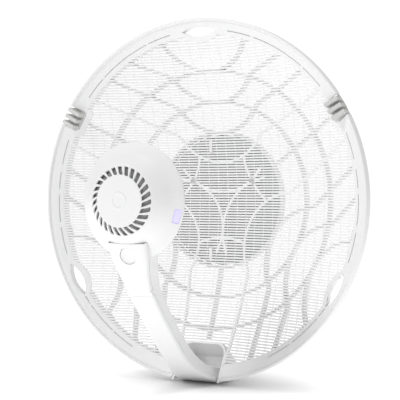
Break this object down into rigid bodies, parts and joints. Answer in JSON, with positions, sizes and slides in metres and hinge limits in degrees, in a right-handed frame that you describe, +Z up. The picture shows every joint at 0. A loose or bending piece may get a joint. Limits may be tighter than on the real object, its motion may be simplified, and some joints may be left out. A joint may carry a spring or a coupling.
{
  "type": "outdoor wireless bridge",
  "caption": "Round meshed dish with a radio head held in front of it on an arm, and a tilting bracket with bands that grip a mast.",
  "frame": {"origin": "on the axis of the mast that the saddle and bands grip, level with the dish's axis", "axes": "-Y is the way the dish looks, +Z up along the mast, +X to the right seen from behind the front of the dish, that is to a viewer who faces +Y"},
  "size_m": [0.413, 0.3263, 0.4153],
  "materials": {
    "white_plastic": "fine satin moulded plastic, UV stable white",
    "grey_plastic": "satin moulded plastic, light grey",
    "dark_plastic": "matt black plastic",
    "rubber": "soft matt black rubber",
    "cast_aluminium": "bead-blasted die casting",
    "steel": "stainless, lightly brushed",
    "tin_plate": "bright tin plate",
    "circuit_board": "green solder mask",
    "violet_lens": "translucent light pipe"
  },
  "bodies": {
    "mast_clamp": {"pole_bracket": "cast_aluminium", "pivot_bolt": "steel", "pivot_nut": "steel", "lock_bolt": "steel", "lock_nut": "steel", "clamp_band_upper": "steel", "clamp_band_lower": "steel", "worm_housing_upper": "steel", "worm_housing_lower": "steel"},
    "upper_worm": {"worm_screw_upper": "steel"},
    "lower_worm": {"worm_screw_lower": "steel"},
    "dish": {"rim_frame": "white_plastic", "reflector_mesh": "white_plastic", "rib_lattice": "white_plastic", "arm_socket": "white_plastic", "head_front_cap": "white_plastic", "arm_housing": "white_plastic", "arm_front_cover": "white_plastic", "radome_catch_right": "grey_plastic", "radome_catch_left": "grey_plastic", "hub_plate": "grey_plastic", "hub_screw_1": "dark_plastic", "hub_screw_2": "dark_plastic", "feed_lens": "dark_plastic", "cable_grommet": "rubber", "port_seal": "rubber", "head_gasket": "rubber", "tilt_yoke": "cast_aluminium", "heat_sink": "cast_aluminium", "feed_horn": "cast_aluminium", "yoke_screw_1": "steel", "yoke_screw_2": "steel", "yoke_screw_3": "steel", "yoke_screw_4": "steel", "cover_hinge_pin": "steel", "head_screw_1": "steel", "head_screw_2": "steel", "head_screw_3": "steel", "arm_screw_right": "steel", "arm_screw_left": "steel", "ethernet_jack": "tin_plate", "rf_shield": "tin_plate", "main_board": "circuit_board", "led_window": "violet_lens"},
    "port_door": {"port_cover": "white_plastic"},
    "release_key": {"release_button": "white_plastic"},
    "reset_key": {"reset_button": "dark_plastic"}
  },
  "joints": [
    {"name": "dish_tilt", "type": "hinge", "parent": "mast_clamp", "child": "dish", "pos_m": [0, -0.044, 0], "axis": [1, 0, 0], "range_deg": [-15, 15]},
    {"name": "upper_worm_turn", "type": "hinge", "parent": "mast_clamp", "child": "upper_worm", "pos_m": [-0.0276, 0, 0.036], "axis": [0, 1, 0], "continuous": true},
    {"name": "lower_worm_turn", "type": "hinge", "parent": "mast_clamp", "child": "lower_worm", "pos_m": [-0.0276, 0, -0.036], "axis": [0, 1, 0], "continuous": true},
    {"name": "port_cover_swing", "type": "hinge", "parent": "dish", "child": "port_door", "pos_m": [0, -0.26257, -0.09612], "axis": [1, 0, 0], "range_deg": [0, 75]},
    {"name": "release_press", "type": "slide", "parent": "port_door", "child": "release_key", "axis": [0, 0.9294, 0.3691], "range_m": [0, 0.0015], "stiffness_N_per_m": 400, "springref_m": -0.001},
    {"name": "reset_press", "type": "slide", "parent": "dish", "child": "reset_key", "axis": [0, -0.3591, 0.9333], "range_m": [0, 0.001], "stiffness_N_per_m": 400, "springref_m": -0.0008}
  ]
}
